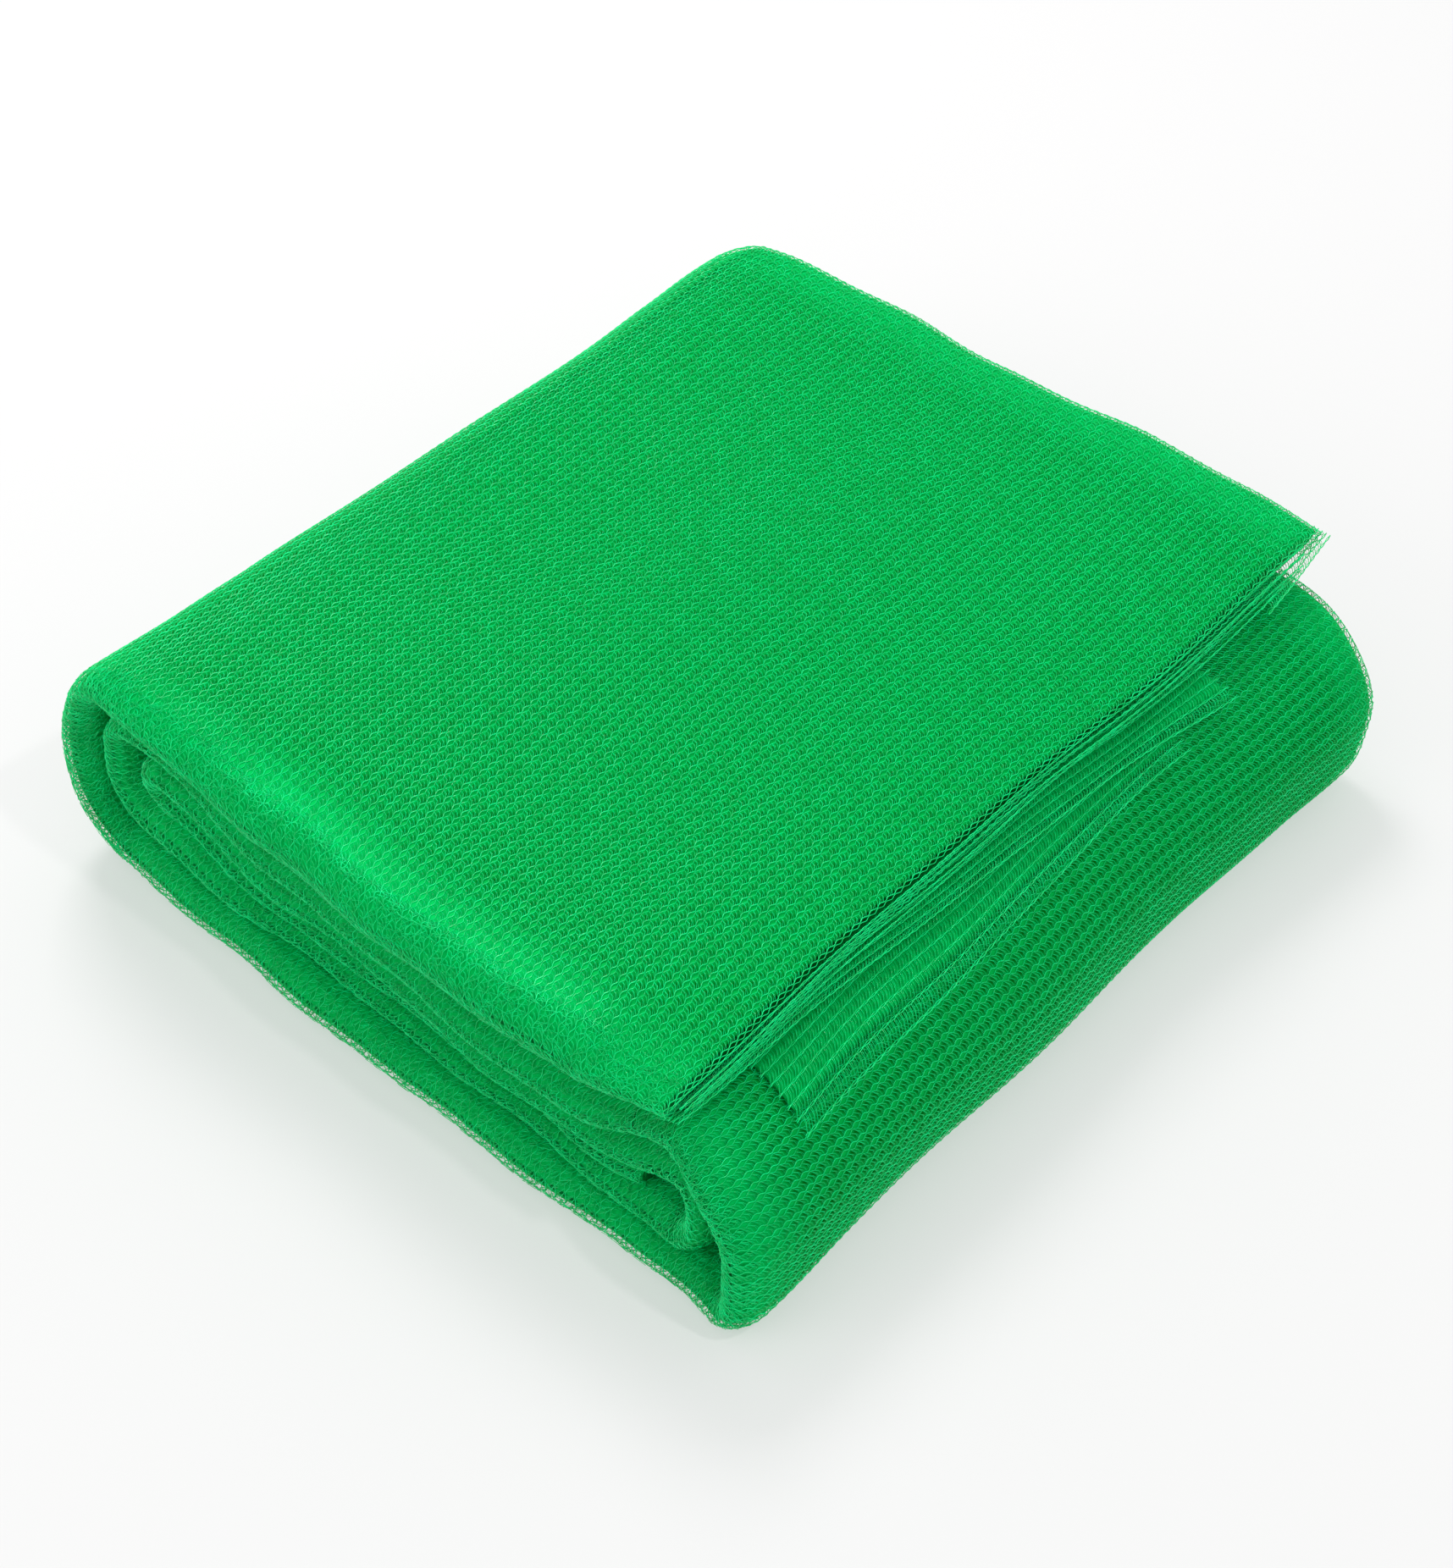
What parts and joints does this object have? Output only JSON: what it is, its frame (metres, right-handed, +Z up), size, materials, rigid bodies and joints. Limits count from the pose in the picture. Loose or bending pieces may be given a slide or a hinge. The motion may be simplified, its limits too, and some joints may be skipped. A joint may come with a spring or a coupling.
{
  "type": "folded knitted safety net",
  "caption": "Green knitted mesh netting folded into a multi-ply strip and rolled flat into a square pack, with a top flap that unrolls.",
  "frame": {"origin": "centre of the pack's underside, on the surface that it lies on", "axes": "+Z up, +Y along the folds towards the back, +X from the left folds to the round right fold"},
  "size_m": [0.296, 0.3, 0.085],
  "materials": {
    "knitted_net": "knitted plastic mesh, slightly glossy",
    "knitted_net_inside": "knitted plastic mesh in the shade of the folds"
  },
  "bodies": {
    "bundle": {"bottom_panel": "knitted_net", "right_fold": "knitted_net", "second_top_panel": "knitted_net_inside", "second_left_fold": "knitted_net_inside", "second_bottom_panel": "knitted_net_inside", "inner_right_fold": "knitted_net_inside", "third_top_panel": "knitted_net_inside", "inner_left_fold": "knitted_net_inside", "core_end_panel": "knitted_net_inside"},
    "wall": {"left_wall": "knitted_net"},
    "flap": {"top_flap": "knitted_net", "upper_leaf": "knitted_net", "lower_leaf": "knitted_net", "corner_ply": "knitted_net"}
  },
  "joints": [
    {"name": "wall_fold", "type": "hinge", "parent": "bundle", "child": "wall", "pos_m": [-0.1416, 0, 0.0064], "axis": [0, -1, 0], "range_deg": [0, 90]},
    {"name": "flap_fold", "type": "hinge", "parent": "wall", "child": "flap", "pos_m": [-0.1416, 0, 0.0805], "axis": [0, -1, 0], "range_deg": [0, 90]}
  ]
}
